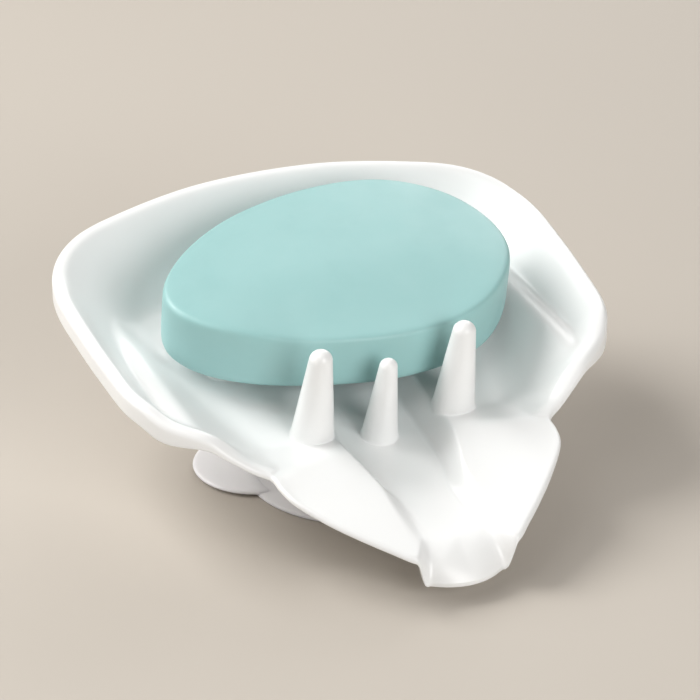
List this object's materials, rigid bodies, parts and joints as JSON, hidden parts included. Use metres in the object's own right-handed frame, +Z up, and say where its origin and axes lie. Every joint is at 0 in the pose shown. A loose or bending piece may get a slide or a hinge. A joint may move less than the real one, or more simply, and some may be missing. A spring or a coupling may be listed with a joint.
{
  "type": "soap dish",
  "caption": "Leaf-shaped self-draining soap dish with a drip spout and stop prongs, on a suction cup it swivels on, holding a bar of soap.",
  "frame": {"origin": "centre of the suction cup's lip, on the surface that it grips", "axes": "+Z up out of that surface, -Y towards the drip spout, +X to the right seen from the spout"},
  "size_m": [0.1284, 0.131, 0.0541],
  "materials": {
    "tray_plastic": "glossy white moulding",
    "cup_rubber": "milky satin soft vinyl",
    "soap": "smooth satin soap"
  },
  "bodies": {
    "cup": {"suction_cup": "cup_rubber"},
    "dish": {"leaf_tray": "tray_plastic"},
    "soap": {"soap_bar": "soap"}
  },
  "joints": [
    {"name": "dish_swivel", "type": "hinge", "parent": "cup", "child": "dish", "pos_m": [0, 0, 0.01], "axis": [0, 0, 1], "continuous": true},
    {"name": "soap_lift", "type": "slide", "parent": "dish", "child": "soap", "axis": [0, 0, 1], "range_m": [0, 0.065]}
  ]
}
